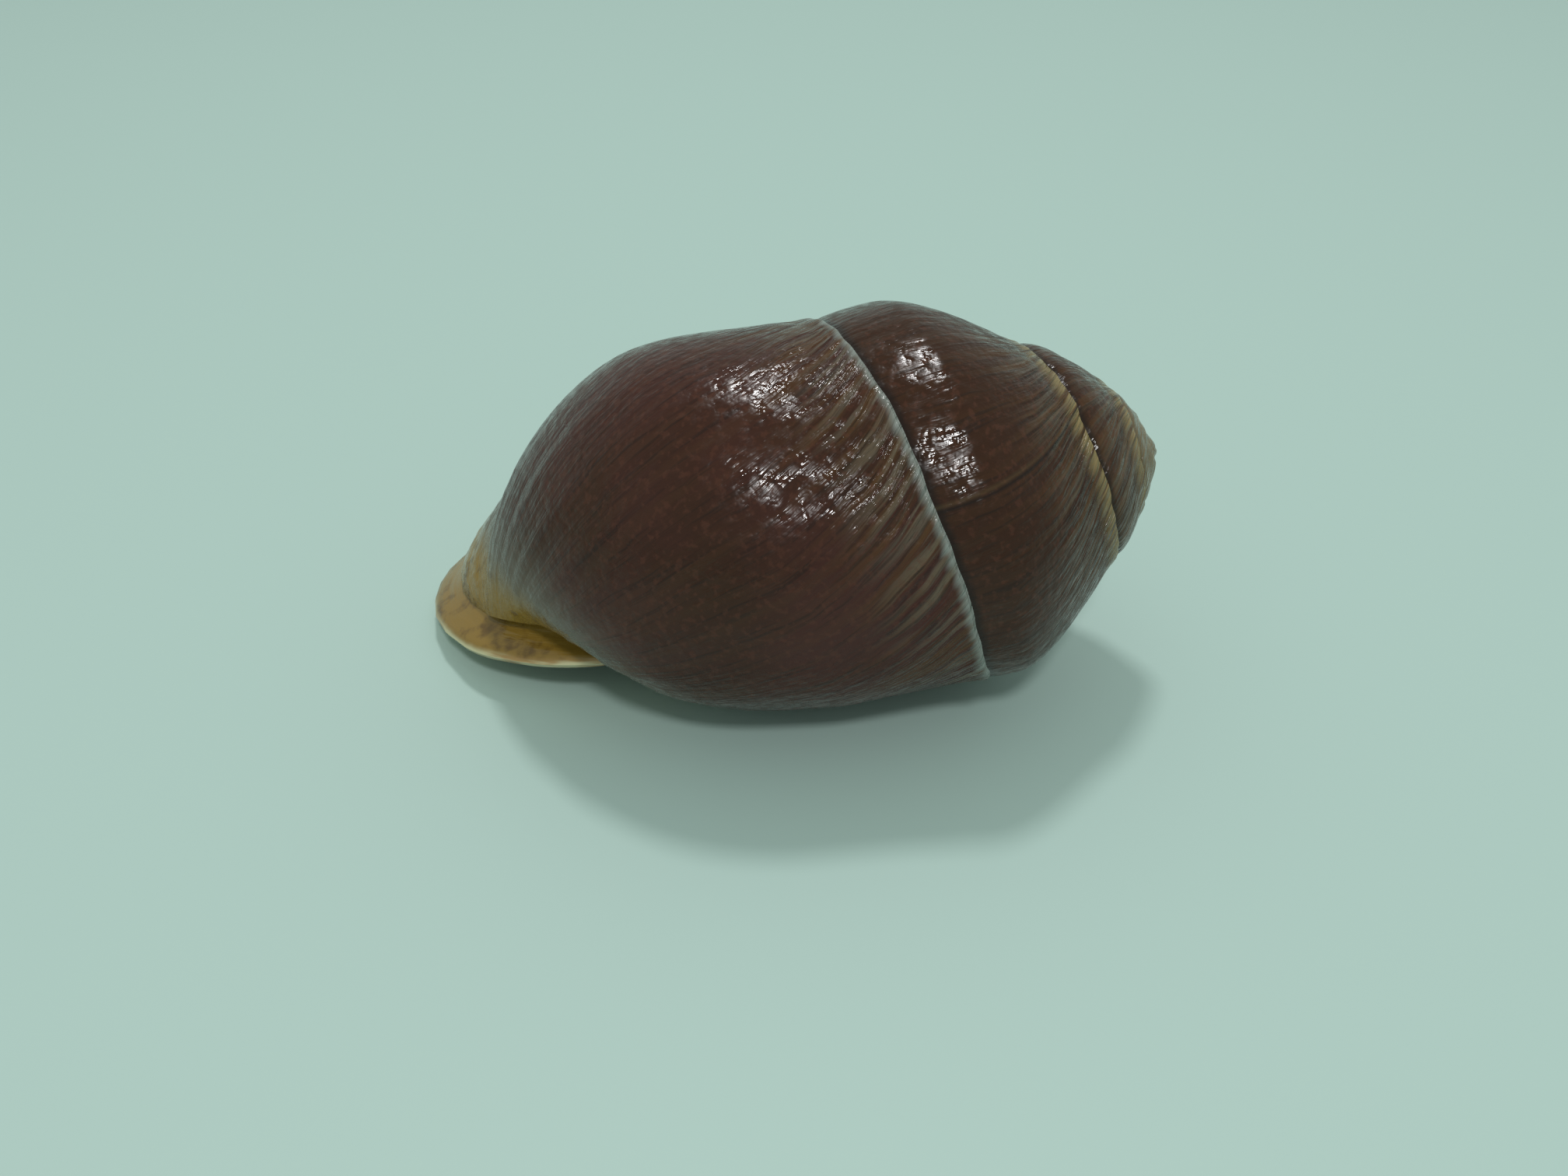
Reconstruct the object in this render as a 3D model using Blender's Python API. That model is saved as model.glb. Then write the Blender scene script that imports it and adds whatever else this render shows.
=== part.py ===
"""Land snail shell: a right-handed spiral tube in one closed body, lying on the edge of its
flared lip and on the underside of its last whorl, with the spire towards +X."""

import bmesh
import bpy
import numpy as np

for old in list(bpy.data.objects):
    bpy.data.objects.remove(old, do_unlink=True)

MM = 0.001
TINY = 1e-6
HALVINGS = 26

# Growth of the spiral. Turns are counted back from the lip, and lengths are in millimetres.
WHORL_TURNS = (
    -5.08, -4.08, -3.33, -2.68, -2.08, -1.83, -1.58, -1.08, -0.83, -0.58, -0.33, -0.08, 0.0
)
WHORL_RADII = (0.0, 2.8, 4.7, 7.0, 10.1, 12.7, 13.6, 13.7, 12.8, 13.6, 14.0, 13.9, 13.8)
SUTURE_DROPS = (0.0, 0.0, 1.0, 1.9, 3.2, 4.1, 5.4, 10.75, 13.6, 16.8, 20.8, 25.3, 27.0)
PERIPHERY_DROP = 0.66
SUTURE_ROOM = 0.95
ROOM_SHARPNESS = 8
BASE_DROP = 1.6
UMBILICUS_RADIUS = 0.10
SHOULDER_STEEPNESS = 0.70
SHOULDER_TENSION = 0.68
BASE_STEEPNESS = 0.06
SIDE_TENSION = 0.50
BASE_TENSION = 0.76

# Pose of the coiling axis.
APEX = (25.7, -7.2, 16.9)
AXIS_YAW = 9.1
AXIS_PITCH = 8.3
LIP_PHASE = -39.0

# Growth lines lean back from the suture to the base, in turns.
SUTURE_LAG = 2.0 / 36.0
BASE_LAG = 0.085

# Mouth: an oval in a plane just above the ground, and the flared lip round it.
MOUTH_CENTRE = (-12.0, -3.3)
MOUTH_RADII = (11.3, 9.9)
MOUTH_START = 6.0
MOUTH_BASE = 222.0
MOUTH_END = 322.0
MOUTH_LEVEL = 3.1
MOUTH_SLOPE = (0.11, -0.116)
LIP_WIDTH = 3.2
LIP_END_WIDTH = 0.35
LIP_WIDENING = 0.2
LIP_PROFILE = (
    (0.30, -2.1), (0.58, -1.5), (0.90, -1.05), (1.0, -0.5), (0.86, 0.0), (0.45, 0.2), (0.0, -0.4)
)
FLARE_TURNS = 0.15
LIP_END_FADE = 0.10

# Below the periphery the last whorl runs on to the back of the lip, along a shallow chink.
BASE_REACH_START = 1.15
BASE_REACH_TURNS = 0.16
CHINK_BEND = 1.7
CHINK_WIDTH = 0.9
CHINK_DEPTH = 1.1
CHINK_OPENING = 0.25
CHINK_CLOSING = 0.2
CHINK_AIM = 9.0

# Wall and hollow. The pillar and the wall of the small whorls are parts of the whorl's radius.
WALL = 1.1
SMALL_WALL = 0.12
HOLLOW_TURNS = 2.5
HOLLOW_STEPS = 30
HOLLOW_CROWDING = 1.4
SECTION_STEP = 0.01
SUTURE_LANDING = 0.08
COLUMELLA_LANDING = (1.45, 1.62)
COLUMELLA_DEEP = 1.93
COLUMELLA_TURNS = 0.3
INNER_BASE = 0.925
INNER_CORNER = 0.4
PILLAR_RADIUS = 0.21
PILLAR_SLIDES = (0.02, 0.29)

# Mesh divisions.
STEPS = 36
SIDE_COLUMNS = 7
LIP_ROWS = 6
BASE_COLUMNS = 9
ROOT_COLUMNS = 3


def smooth_through(t, values):
    """A monotone cubic through the values given at WHORL_TURNS."""
    x = np.array(WHORL_TURNS)
    y = np.array(values)
    step = np.diff(x)
    rise = np.diff(y) / step
    slope = np.zeros(len(x))
    both = rise[:-1] * rise[1:] > 0
    slope[1:-1][both] = 2.0 * rise[:-1][both] * rise[1:][both] / (rise[:-1] + rise[1:])[both]
    slope[0] = rise[0]
    slope[-1] = rise[-1]
    t = np.clip(t, x[0], x[-1])
    i = np.clip(np.searchsorted(x, t, side="right") - 1, 0, len(step) - 1)
    u = (t - x[i]) / step[i]
    return (
        (1 + 2 * u) * (1 - u) ** 2 * y[i]
        + u * (1 - u) ** 2 * step[i] * slope[i]
        + u * u * (3 - 2 * u) * y[i + 1]
        + u * u * (u - 1) * step[i] * slope[i + 1]
    )


def ease(x):
    x = np.clip(x, 0.0, 1.0)
    return x * x * (3.0 - 2.0 * x)


def cubic(b, p0, p1, p2, p3):
    m = 1.0 - b
    return m**3 * p0 + 3 * m * m * b * p1 + 3 * m * b * b * p2 + b**3 * p3


def periphery(t):
    """Radius, suture drop and periphery drop of whorl t, whose periphery stays above the next suture."""
    radius = smooth_through(t, WHORL_RADII)
    suture = smooth_through(t, SUTURE_DROPS)
    full = np.maximum(PERIPHERY_DROP * radius, TINY)
    next_suture = smooth_through(np.minimum(t + 1.0, 0.0), SUTURE_DROPS)
    room = np.maximum(SUTURE_ROOM * (next_suture - suture), TINY)
    limited = full * room / (full**ROOM_SHARPNESS + room**ROOM_SHARPNESS) ** (1 / ROOM_SHARPNESS)
    return radius, suture, suture + np.where(t > -1.0, full, limited)


def lower_side(t, b):
    """Radius and drop of the section below the periphery, b from 0 there to 1 at the umbilicus."""
    radius, suture, side = periphery(t)
    base = suture + BASE_DROP * radius
    end = UMBILICUS_RADIUS * radius
    steep = base - BASE_STEEPNESS * (base - side)
    r = cubic(b, radius, radius, end + BASE_TENSION * (radius - end), end)
    turned_down = side + SIDE_TENSION * (steep - side)
    turned_in = base + BASE_TENSION * (steep - base)
    h = cubic(b, side, turned_down, turned_in, base)
    return r, h


def lower_side_at(t, drop):
    """Where the lower side reaches a drop: its b and its radius."""
    t = np.asarray(t, float)
    low = np.zeros_like(t)
    high = np.ones_like(t)
    for _ in range(HALVINGS):
        middle = (low + high) / 2
        above = lower_side(t, middle)[1] < drop
        low = np.where(above, middle, low)
        high = np.where(above, high, middle)
    return low, lower_side(t, low)[0]


def section(t, a):
    """Radius and drop of the outside: a is 0 at the upper suture, 1 at the periphery, 2 at the base."""
    radius, suture, side = periphery(t)
    start = np.where(t - 1 > WHORL_TURNS[0], lower_side_at(t - 1, suture)[1], 0.0)
    steep = suture + SHOULDER_STEEPNESS * (side - suture)
    b = np.clip(a, 0.0, 1.0)
    r = cubic(b, start, start + SHOULDER_TENSION * (radius - start), radius, radius)
    turned_out = suture + SHOULDER_TENSION * (steep - suture)
    turned_down = side + SHOULDER_TENSION * (steep - side)
    h = cubic(b, suture, turned_out, turned_down, side)
    r_low, h_low = lower_side(t, np.clip(a - 1.0, 0.0, 1.0))
    return np.where(a <= 1.0, r, r_low), np.where(a <= 1.0, h, h_low)


def lower_suture(t):
    """The a at which the next whorl's suture lies on whorl t."""
    return 1.0 + lower_side_at(t, smooth_through(t + 1.0, SUTURE_DROPS))[0]


def axes():
    yaw = np.radians(AXIS_YAW)
    pitch = np.radians(AXIS_PITCH)
    k = np.array([np.cos(pitch) * np.cos(yaw), np.cos(pitch) * np.sin(yaw), np.sin(pitch)])
    across = np.cross([0.0, 0.0, 1.0], k)
    across /= np.linalg.norm(across)
    return k, across, np.cross(k, across)


def in_space(t, r, h):
    k, across, up = axes()
    turn = np.radians(LIP_PHASE) - 2 * np.pi * t
    return (
        np.array(APEX)
        - h[..., None] * k
        + (r * np.cos(turn))[..., None] * across
        + (r * np.sin(turn))[..., None] * up
    )


def outside(t, a):
    r, h = section(t, a)
    return in_space(t, r, h)


def inner_section(t, a):
    """The outside section moved in by the wall."""
    r0, h0 = section(t, np.maximum(a - SECTION_STEP, 0.0))
    r1, h1 = section(t, np.minimum(a + SECTION_STEP, 2.0))
    length = np.maximum(np.hypot(r1 - r0, h1 - h0), TINY)
    r, h = section(t, a)
    wall = np.minimum(WALL, SMALL_WALL * smooth_through(t, WHORL_RADII))
    return r - wall * (h1 - h0) / length, h + wall * (r1 - r0) / length


def lag_of(a, middle):
    """How far back the growth line lies at a, when the lower suture is at middle."""
    above = SUTURE_LAG * a / middle
    below = SUTURE_LAG + (BASE_LAG - SUTURE_LAG) * (a - middle) / (2.0 - middle)
    return np.where(a <= middle, above, below)


def spiral_rings(turns, a):
    """Outside points on growth lines: turns holds each line's suture turn, a its section places."""
    turns = turns[:, None]
    middle = lower_suture(np.minimum(turns - SUTURE_LAG, -1.0))
    return outside(turns - lag_of(a, middle), a)


def mouth_point(angle, out, forward):
    """A point near the mouth's edge: out from the edge in its plane, and forward towards the ground."""
    cx, cy = MOUTH_CENTRE
    ax, ay = MOUTH_RADII
    c = np.cos(angle)
    s = np.sin(angle)
    normal = np.stack([c / ax, s / ay], -1)
    normal /= np.linalg.norm(normal, axis=-1)[..., None]
    x = cx + ax * c + out * normal[..., 0]
    y = cy + ay * s + out * normal[..., 1]
    level = MOUTH_LEVEL + MOUTH_SLOPE[0] * (x - cx) + MOUTH_SLOPE[1] * (y - cy)
    return np.stack([x, y, level - forward], -1)


def lip_profile(rows):
    """Out and forward places across the lip, from its root behind to the mouth's edge."""
    points = np.array(LIP_PROFILE)
    points = np.vstack([2 * points[0] - points[1], points, 2 * points[-1] - points[-2]])
    at = np.linspace(0.0, len(LIP_PROFILE) - 1.0, rows + 1)
    i = np.minimum(at.astype(int), len(LIP_PROFILE) - 2)
    u = (at - i)[:, None]
    p0, p1, p2, p3 = points[i], points[i + 1], points[i + 2], points[i + 3]
    squared = 2 * p0 - 5 * p1 + 4 * p2 - p3
    cubed = 3 * p1 - p0 - 3 * p2 + p3
    return 0.5 * (2 * p1 + (p2 - p0) * u + squared * u**2 + cubed * u**3)


def sheet(bm, points):
    """A grid laid over points, an array of rows by columns by 3."""
    rows = points.shape[0] - 1
    columns = points.shape[1] - 1
    made = bmesh.ops.create_grid(bm, x_segments=columns, y_segments=rows, size=0.5)
    for vertex in made["verts"]:
        i = round((vertex.co.y + 0.5) * rows)
        j = round((vertex.co.x + 0.5) * columns)
        vertex.co = points[i, j] * MM


lag_steps = round(SUTURE_LAG * STEPS)
first_turn = WHORL_TURNS[0]

# Rings of the last whorl run from one turn behind the lip's corner up to the lip.
last_steps = STEPS - lag_steps
last_turns = np.arange(-last_steps, 1) / STEPS
corner = lower_suture(np.array([-1.0]))[0]
land_out, land_in = COLUMELLA_LANDING[1], COLUMELLA_LANDING[0]
last_a = np.concatenate([
    np.linspace(0.0, corner, SIDE_COLUMNS + 1),
    np.linspace(corner, corner + SUTURE_LANDING, LIP_ROWS + 1)[1:],
    np.linspace(corner + SUTURE_LANDING, land_in, BASE_COLUMNS + 1)[1:],
    np.linspace(land_in, land_out, LIP_ROWS + 1)[1:],
    np.linspace(land_out, 2.0, ROOT_COLUMNS + 1)[1:],
])
last_rings = spiral_rings(last_turns, np.tile(last_a, (last_steps + 1, 1)))

# Rings of the earlier whorls stop at the next whorl's suture.
early_steps = int(np.floor((-1.0 - first_turn) * STEPS))
early_turns = -1.0 + SUTURE_LAG - np.arange(early_steps, -1, -1) / STEPS
early_middle = lower_suture(early_turns - SUTURE_LAG)
early_a = np.linspace(0.0, 1.0, SIDE_COLUMNS + 1)[None, :] * early_middle[:, None]
early_rings = spiral_rings(early_turns, early_a)
tip = np.tile(in_space(np.array([first_turn]), np.zeros(1), np.zeros(1))[0], (1, SIDE_COLUMNS + 1, 1))

# The previous whorl seen inside the mouth.
hollow_turns = -HOLLOW_TURNS * np.linspace(1.0, 0.0, HOLLOW_STEPS + 1) ** HOLLOW_CROWDING
wall_turns = hollow_turns - 1.0 + SUTURE_LAG
wall_middle = lower_suture(wall_turns - SUTURE_LAG)
depth = ease(-hollow_turns / COLUMELLA_TURNS)
wall_end = land_in + (COLUMELLA_DEEP - land_in) * depth
across = np.linspace(0.0, 1.0, BASE_COLUMNS + 1)[None, :]
wall_a = (wall_middle + SUTURE_LANDING)[:, None] * (1 - across) + wall_end[:, None] * across
wall_rings = spiral_rings(wall_turns, wall_a)

# The lip, one row of points across it for each column round the mouth.
profile = lip_profile(LIP_ROWS)
arc = np.concatenate([[0.0], np.cumsum(np.linalg.norm(np.diff(last_rings[-1], axis=0), axis=1))])
outer_angles = MOUTH_START + (MOUTH_BASE - MOUTH_START) * arc / arc[-1]
pillar_columns = last_steps
behind = last_turns[::-1] / last_turns[0]
pillar_angles = MOUTH_BASE + (MOUTH_END - MOUTH_BASE) * behind[1:] ** CHINK_BEND
angles = np.radians(np.concatenate([outer_angles, pillar_angles]))
round_mouth = (angles - angles[0]) / (angles[-1] - angles[0])
start_fade = ease(round_mouth / LIP_END_FADE)[:, None, None]
end_fade = ease((1.0 - round_mouth) / LIP_END_FADE)[:, None, None]
widening = ease(round_mouth / LIP_WIDENING) * ease((1.0 - round_mouth) / LIP_WIDENING)
width = LIP_WIDTH * (LIP_END_WIDTH + (1.0 - LIP_END_WIDTH) * widening)
lip_out = width[:, None] * profile[None, :, 0]
lip_forward = np.tile(profile[None, :, 1], (len(angles), 1))
oval = mouth_point(angles[:, None], lip_out, lip_forward)
start_landing = last_rings[0][SIDE_COLUMNS:SIDE_COLUMNS + LIP_ROWS + 1]
end_first = SIDE_COLUMNS + LIP_ROWS + BASE_COLUMNS
end_landing = last_rings[0][end_first:end_first + LIP_ROWS + 1][::-1]
outer_count = len(last_a)
mouth_line = np.concatenate([last_rings[-1], np.tile(end_landing[0], (pillar_columns, 1))])
near_start = mouth_line[:, None, :] + (start_landing - start_landing[0])[None, :, :]
lip = near_start * (1 - start_fade) + oval * start_fade
lip = end_landing[None, :, :] * (1 - end_fade) + lip * end_fade

# The base runs on to the back of the lip round the pillar.
root_angles = np.radians(np.concatenate([[MOUTH_BASE], pillar_angles]))
root_width = width[outer_count - 1:]
gap = CHINK_WIDTH * ease(behind / CHINK_OPENING)
base_edge = mouth_point(root_angles, root_width * profile[0, 0] + gap, profile[0, 1] - gap)[::-1]
reach = ease((last_turns - last_turns[0]) / BASE_REACH_TURNS)[:, None, None]
below = ease((last_a - BASE_REACH_START) / (2.0 - BASE_REACH_START))[None, :, None]
last_rings = last_rings + reach * below * (base_edge - last_rings[:, -1])[:, None, :]

# The outside flares to meet the lip's root.
outer_flare = ease((last_turns + FLARE_TURNS) / FLARE_TURNS)[:, None, None]
last_rings = last_rings + outer_flare * (lip[:outer_count, 0] - last_rings[-1])[None, :, :]

# The hollow: the outer wall's inside, then the pillar round the coiling axis.
inner_a = np.tile(last_a * INNER_BASE, (HOLLOW_STEPS + 1, 1))
inner_turns = hollow_turns[:, None] - lag_of(last_a, corner)[None, :]
inner_r, inner_h = inner_section(inner_turns, np.maximum(inner_a, INNER_CORNER))
inner_rings = in_space(inner_turns, inner_r, inner_h)
away = ease(inner_a / INNER_CORNER)[:, :, None]
inner_rings = wall_rings[:, :1, :] * (1 - away) + inner_rings * away
pillar_b = np.linspace(0.0, 1.0, pillar_columns + 1)[None, :, None]
k_axis = axes()[0]
base_end = inner_rings[:, -1:, :]
wall_last = wall_rings[:, -1:, :]


def on_pillar(points, slide):
    """Points moved in to the pillar's radius, and along the axis by slide of the whorl's radius."""
    size = smooth_through(hollow_turns, WHORL_RADII)[:, None, None]
    from_apex = points - np.array(APEX)
    along = (from_apex @ k_axis)[..., None] * k_axis
    radial = from_apex - along
    radial /= np.linalg.norm(radial, axis=-1)[..., None]
    return np.array(APEX) + along + radial * PILLAR_RADIUS * size - slide * size * k_axis


pillar_top = on_pillar(wall_last, PILLAR_SLIDES[1])
pillar_rings = cubic(pillar_b, base_end, on_pillar(base_end, PILLAR_SLIDES[0]), pillar_top, wall_last)
hollow_flare = ease((hollow_turns + FLARE_TURNS) / FLARE_TURNS)[:, None, None]
inner_rings = inner_rings + hollow_flare * (lip[:outer_count, -1] - inner_rings[-1])[None, :, :]
pillar_rings = pillar_rings + hollow_flare * (lip[outer_count - 1:, -1] - pillar_rings[-1])[None, :, :]

# The chink between the base and the back of the lip.
root = lip[outer_count - 1:, 0]
edge = last_rings[::-1, -1]
across_chink = np.linspace(0.0, 1.0, ROOT_COLUMNS + 1)[None, :, None]
chink = root[:, None, :] * (1 - across_chink) + edge[:, None, :] * across_chink
sunk = CHINK_DEPTH * (ease(behind / CHINK_OPENING) * ease((1.0 - behind) / CHINK_CLOSING))[:, None, None]
inward = np.array([MOUTH_CENTRE[0], MOUTH_CENTRE[1], MOUTH_LEVEL + CHINK_AIM]) - (root + edge) / 2
inward /= np.linalg.norm(inward, axis=1)[:, None]
chink = chink + sunk * 4 * across_chink * (1 - across_chink) * inward[:, None, :]
first_ring = last_rings[0][-(ROOT_COLUMNS + 1):]
chink_end = ease(1.0 - (1.0 - behind) / CHINK_CLOSING)[:, None, None]
chink = chink + chink_end * (first_ring - chink[-1])[None, :, :]

bm = bmesh.new()
sheet(bm, np.concatenate([tip, early_rings]))
sheet(bm, last_rings)
sheet(bm, wall_rings)
sheet(bm, inner_rings)
sheet(bm, pillar_rings)
sheet(bm, lip)
sheet(bm, chink)
bmesh.ops.remove_doubles(bm, verts=bm.verts, dist=TINY)
bmesh.ops.dissolve_degenerate(bm, edges=bm.edges, dist=TINY)
open_edges = [edge for edge in bm.edges if edge.is_boundary]
bmesh.ops.holes_fill(bm, edges=open_edges, sides=0)
bmesh.ops.triangulate(bm, faces=bm.faces)
bmesh.ops.recalc_face_normals(bm, faces=bm.faces)

# The shell is set on the ground with its outline centred on the origin.
corners = np.array([vertex.co for vertex in bm.verts])
low = corners.min(axis=0)
high = corners.max(axis=0)
shift = (-(low[0] + high[0]) / 2, -(low[1] + high[1]) / 2, -low[2])
bmesh.ops.translate(bm, verts=bm.verts, vec=shift)

mesh = bpy.data.meshes.new("shell")
bm.to_mesh(mesh)
bm.free()
shell = bpy.data.objects.new("shell", mesh)
bpy.context.scene.collection.objects.link(shell)

brown = bpy.data.materials.new("shell_brown")
brown.use_nodes = True
surface = brown.node_tree.nodes["Principled BSDF"]
surface.inputs["Base Color"].default_value = (0.075, 0.027, 0.016, 1.0)
surface.inputs["Roughness"].default_value = 0.22
surface.inputs["Metallic"].default_value = 0.0
mesh.materials.append(brown)
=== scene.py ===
import bmesh
import bpy
import numpy as np
from mathutils import Euler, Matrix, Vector, noise


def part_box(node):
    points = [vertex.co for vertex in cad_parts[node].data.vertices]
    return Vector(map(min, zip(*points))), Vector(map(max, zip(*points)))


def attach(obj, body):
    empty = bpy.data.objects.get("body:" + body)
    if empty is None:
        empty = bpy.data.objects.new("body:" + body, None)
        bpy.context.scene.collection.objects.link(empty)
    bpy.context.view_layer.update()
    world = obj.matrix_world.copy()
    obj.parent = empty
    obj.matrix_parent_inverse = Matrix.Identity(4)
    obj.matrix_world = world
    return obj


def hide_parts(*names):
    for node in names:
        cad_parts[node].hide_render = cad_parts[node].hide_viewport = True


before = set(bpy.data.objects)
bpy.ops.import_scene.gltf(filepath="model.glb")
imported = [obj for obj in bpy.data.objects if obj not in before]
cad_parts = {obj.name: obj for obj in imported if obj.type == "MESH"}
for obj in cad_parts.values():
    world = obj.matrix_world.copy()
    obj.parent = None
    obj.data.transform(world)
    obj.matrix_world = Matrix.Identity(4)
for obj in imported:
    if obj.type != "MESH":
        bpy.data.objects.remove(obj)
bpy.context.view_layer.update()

# Land snail shell: form
# The shell is one spiral tube of layered lime, laid down growth line by growth line from the apex
# to the flared lip, under a thin brown skin. It grew as one piece, so nothing is fixed on to it.
# All lengths here are in millimetres, and turns are counted back from the lip.

MM = 0.001
TINY = 1e-6
HALVINGS = 24

WHORL_TURNS = (
    -5.08, -4.08, -3.33, -2.68, -2.08, -1.83, -1.58, -1.08, -0.83, -0.58, -0.33, -0.08, 0.0
)
WHORL_RADII = (0.0, 2.8, 4.7, 7.0, 10.1, 12.7, 13.6, 13.7, 12.8, 13.6, 14.0, 13.9, 13.8)
SUTURE_DROPS = (0.0, 0.0, 1.0, 1.9, 3.2, 4.1, 5.4, 10.75, 13.6, 16.8, 20.8, 25.3, 27.0)
SUTURE_WAVER = ((0.07, 7.3, 0.4), (0.035, 19.1, 1.3), (0.02, 33.7, 2.9))
WAVER_START = -2.68
WAVER_GROWTH = 2.0
WAVER_LIP_FADE = 0.125
PERIPHERY_DROP = 0.66
SUTURE_ROOM = 0.95
ROOM_SHARPNESS = 8
BASE_DROP = 1.6
UMBILICUS_RADIUS = 0.10
SHOULDER_STEEPNESS = 0.70
SHOULDER_TENSION = 0.68
BASE_STEEPNESS = 0.06
SIDE_TENSION = 0.50
BASE_TENSION = 0.76

APEX = (25.7, -7.2, 16.9)
AXIS_YAW = 9.1
AXIS_PITCH = 8.3
LIP_PHASE = -39.0

SUTURE_LAG = 2.0 / 36.0
BASE_LAG = 0.085

STEPS = 180
SIDE_COLUMNS = 52
LIP_ROWS = 10
BASE_COLUMNS = 44
ROOT_COLUMNS = 6
CROWDING = 0.25


def smooth_through(t, values):
    """A monotone cubic through the values given at WHORL_TURNS."""
    x = np.array(WHORL_TURNS)
    y = np.array(values)
    step = np.diff(x)
    rise = np.diff(y) / step
    slope = np.zeros(len(x))
    both = rise[:-1] * rise[1:] > 0
    slope[1:-1][both] = 2.0 * rise[:-1][both] * rise[1:][both] / (rise[:-1] + rise[1:])[both]
    slope[0] = rise[0]
    slope[-1] = rise[-1]
    t = np.clip(t, x[0], x[-1])
    i = np.clip(np.searchsorted(x, t, side="right") - 1, 0, len(step) - 1)
    u = (t - x[i]) / step[i]
    return (
        (1 + 2 * u) * (1 - u) ** 2 * y[i]
        + u * (1 - u) ** 2 * step[i] * slope[i]
        + u * u * (3 - 2 * u) * y[i + 1]
        + u * u * (u - 1) * step[i] * slope[i + 1]
    )


def ease(x):
    x = np.clip(x, 0.0, 1.0)
    return x * x * (3.0 - 2.0 * x)


def cubic(b, p0, p1, p2, p3):
    m = 1.0 - b
    return m**3 * p0 + 3 * m * m * b * p1 + 3 * m * b * b * p2 + b**3 * p3


def suture_drop(t):
    """How far below the apex the suture of whorl t lies, with its small unevenness."""
    waver = sum(size * np.sin(2 * np.pi * often * t + start) for size, often, start in SUTURE_WAVER)
    waver = waver * ease((t - WAVER_START) / WAVER_GROWTH) * ease(-t / WAVER_LIP_FADE)
    return smooth_through(t, SUTURE_DROPS) + waver


def periphery(t):
    """Radius, suture drop and periphery drop of whorl t. The next suture isn't above the periphery."""
    radius = smooth_through(t, WHORL_RADII)
    suture = suture_drop(t)
    full = np.maximum(PERIPHERY_DROP * radius, TINY)
    room = np.maximum(SUTURE_ROOM * (suture_drop(np.minimum(t + 1.0, 0.0)) - suture), TINY)
    limited = full * room / (full**ROOM_SHARPNESS + room**ROOM_SHARPNESS) ** (1 / ROOM_SHARPNESS)
    return radius, suture, suture + np.where(t > -1.0, full, limited)


def lower_side(t, b):
    """Radius and drop of the section below the periphery, b from 0 there to 1 at the umbilicus."""
    radius, suture, side = periphery(t)
    base = suture + BASE_DROP * radius
    end = UMBILICUS_RADIUS * radius
    steep = base - BASE_STEEPNESS * (base - side)
    r = cubic(b, radius, radius, end + BASE_TENSION * (radius - end), end)
    turned_down = side + SIDE_TENSION * (steep - side)
    turned_in = base + BASE_TENSION * (steep - base)
    h = cubic(b, side, turned_down, turned_in, base)
    return r, h


def lower_side_at(t, drop):
    """Where the lower side reaches a drop: its b and its radius."""
    t = np.asarray(t, float)
    low = np.zeros_like(t)
    high = np.ones_like(t)
    for _ in range(HALVINGS):
        middle = (low + high) / 2
        above = lower_side(t, middle)[1] < drop
        low = np.where(above, middle, low)
        high = np.where(above, high, middle)
    return low, lower_side(t, low)[0]


def section(t, a, start=None):
    """Radius and drop of the outside: a is 0 at the upper suture, 1 at the periphery, 2 at the base."""
    radius, suture, side = periphery(t)
    if start is None:
        start = suture_radius(t)
    steep = suture + SHOULDER_STEEPNESS * (side - suture)
    b = np.clip(a, 0.0, 1.0)
    r = cubic(b, start, start + SHOULDER_TENSION * (radius - start), radius, radius)
    turned_out = suture + SHOULDER_TENSION * (steep - suture)
    turned_down = side + SHOULDER_TENSION * (steep - side)
    h = cubic(b, suture, turned_out, turned_down, side)
    r_low, h_low = lower_side(t, np.clip(a - 1.0, 0.0, 1.0))
    return np.where(a <= 1.0, r, r_low), np.where(a <= 1.0, h, h_low)


def suture_radius(t):
    """The radius at which whorl t starts on the whorl before it."""
    return np.where(t - 1 > WHORL_TURNS[0], lower_side_at(t - 1, suture_drop(t))[1], 0.0)


def lower_suture(t):
    """The a at which the next whorl's suture lies on whorl t."""
    return 1.0 + lower_side_at(t, suture_drop(t + 1.0))[0]


def axes():
    yaw = np.radians(AXIS_YAW)
    pitch = np.radians(AXIS_PITCH)
    k = np.array([np.cos(pitch) * np.cos(yaw), np.cos(pitch) * np.sin(yaw), np.sin(pitch)])
    across = np.cross([0.0, 0.0, 1.0], k)
    across /= np.linalg.norm(across)
    return k, across, np.cross(k, across)


def in_space(t, r, h):
    k, across, up = axes()
    turn = np.radians(LIP_PHASE) - 2 * np.pi * t
    return (
        np.array(APEX)
        - h[..., None] * k
        + (r * np.cos(turn))[..., None] * across
        + (r * np.sin(turn))[..., None] * up
    )


SECTION_STEP = 0.01


def offset_section(t, a, out):
    """The section moved out, or in where out is negative, square to itself."""
    start = suture_radius(t)
    r0, h0 = section(t, np.maximum(a - SECTION_STEP, 0.0), start)
    r1, h1 = section(t, np.minimum(a + SECTION_STEP, 2.0), start)
    length = np.maximum(np.hypot(r1 - r0, h1 - h0), TINY)
    r, h = section(t, a, start)
    return r + out * (h1 - h0) / length, h - out * (r1 - r0) / length


def lag_of(a, middle):
    """How far back the growth line lies at a, when the lower suture is at middle."""
    above = SUTURE_LAG * a / middle
    below = SUTURE_LAG + (BASE_LAG - SUTURE_LAG) * (a - middle) / (2.0 - middle)
    return np.where(a <= middle, above, below)


def lengths_along(points):
    """How far each point lies along its row."""
    steps = np.linalg.norm(np.diff(points, axis=1), axis=2)
    return np.concatenate([np.zeros((len(points), 1)), np.cumsum(steps, axis=1)], axis=1)


TABLE_ROWS = 4000

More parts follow.
